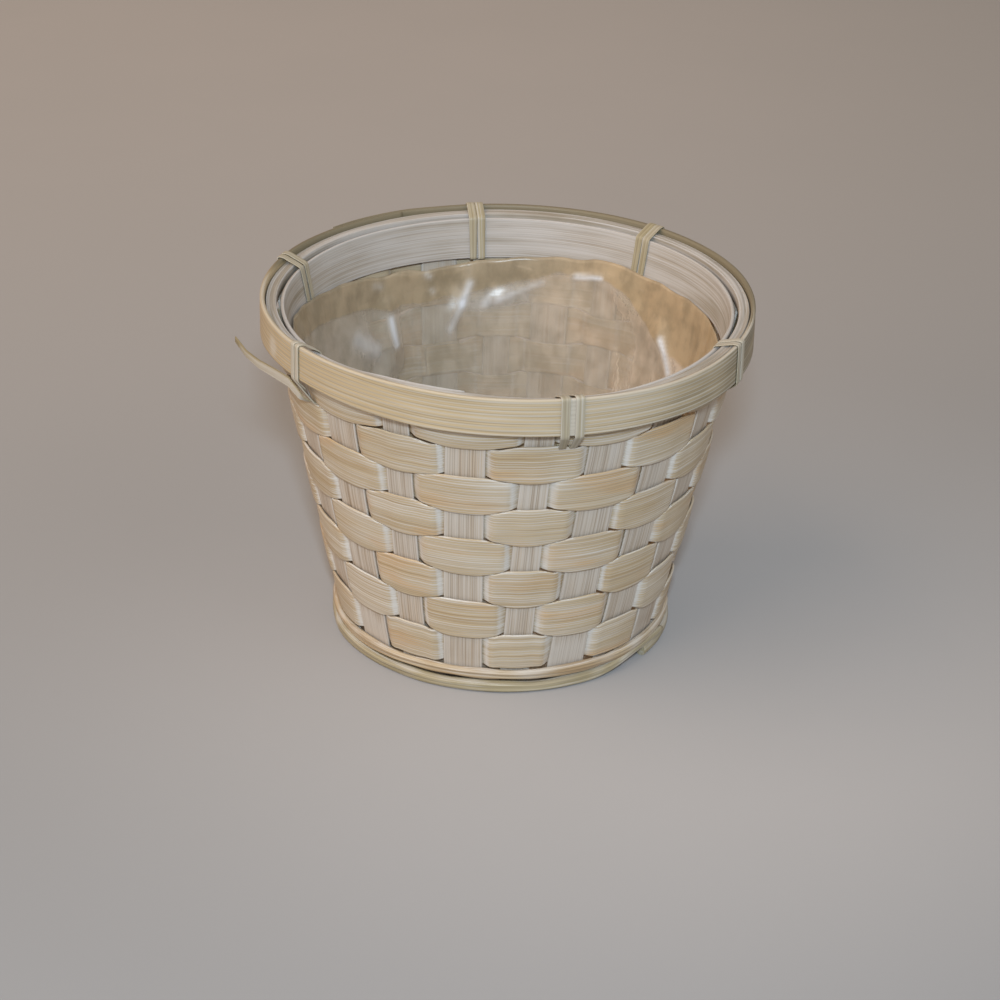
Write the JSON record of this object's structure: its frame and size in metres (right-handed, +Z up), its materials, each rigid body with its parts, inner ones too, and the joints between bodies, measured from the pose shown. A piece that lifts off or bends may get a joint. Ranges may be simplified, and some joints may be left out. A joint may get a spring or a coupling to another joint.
{
  "type": "woven bamboo basket",
  "caption": "Round tapered basket woven from flat bamboo splints, with hoops lashed on at the rim and a clear film liner, for covering a plant pot.",
  "frame": {"origin": "middle of the underside, on the surface that the basket stands on", "axes": "+Z up the axis of the basket, -Y towards the front that the picture shows, +X to the right of that front"},
  "size_m": [0.1726, 0.165, 0.1207],
  "materials": {
    "upright_bamboo": "whitewashed split bamboo, grain running up",
    "weaver_bamboo": "tan split bamboo with white wash left in the grain",
    "hoop_bamboo": "tan split bamboo, smoother outer face",
    "washed_bamboo": "split bamboo under thicker greyish white wash",
    "bamboo_skin": "olive-yellow bamboo skin, slightly glossy",
    "liner_film": "thin clear glossy film, pleated"
  },
  "bodies": {
    "root": {"stake_strip_a1": "upright_bamboo", "stake_strip_a2": "upright_bamboo", "stake_strip_a3": "upright_bamboo", "stake_strip_a4": "upright_bamboo", "stake_strip_a5": "upright_bamboo", "stake_strip_b1": "upright_bamboo", "stake_strip_b2": "upright_bamboo", "stake_strip_b3": "upright_bamboo", "stake_strip_b4": "upright_bamboo", "stake_strip_b5": "upright_bamboo", "weaver_1": "weaver_bamboo", "weaver_2": "weaver_bamboo", "weaver_3": "weaver_bamboo", "weaver_4": "weaver_bamboo", "weaver_5": "weaver_bamboo", "weaver_6": "weaver_bamboo", "weaver_7": "weaver_bamboo", "weaver_8": "weaver_bamboo", "rim_hoop_outer": "hoop_bamboo", "rim_hoop_inner": "washed_bamboo", "rim_packing": "washed_bamboo", "foot_strand_lower": "bamboo_skin", "foot_strand_upper": "hoop_bamboo", "rim_tie_1": "bamboo_skin", "rim_tie_2": "bamboo_skin", "rim_tie_3": "bamboo_skin", "rim_tie_4": "bamboo_skin", "rim_tie_5": "bamboo_skin", "rim_tie_6": "bamboo_skin", "film_liner": "liner_film"}
  },
  "joints": []
}
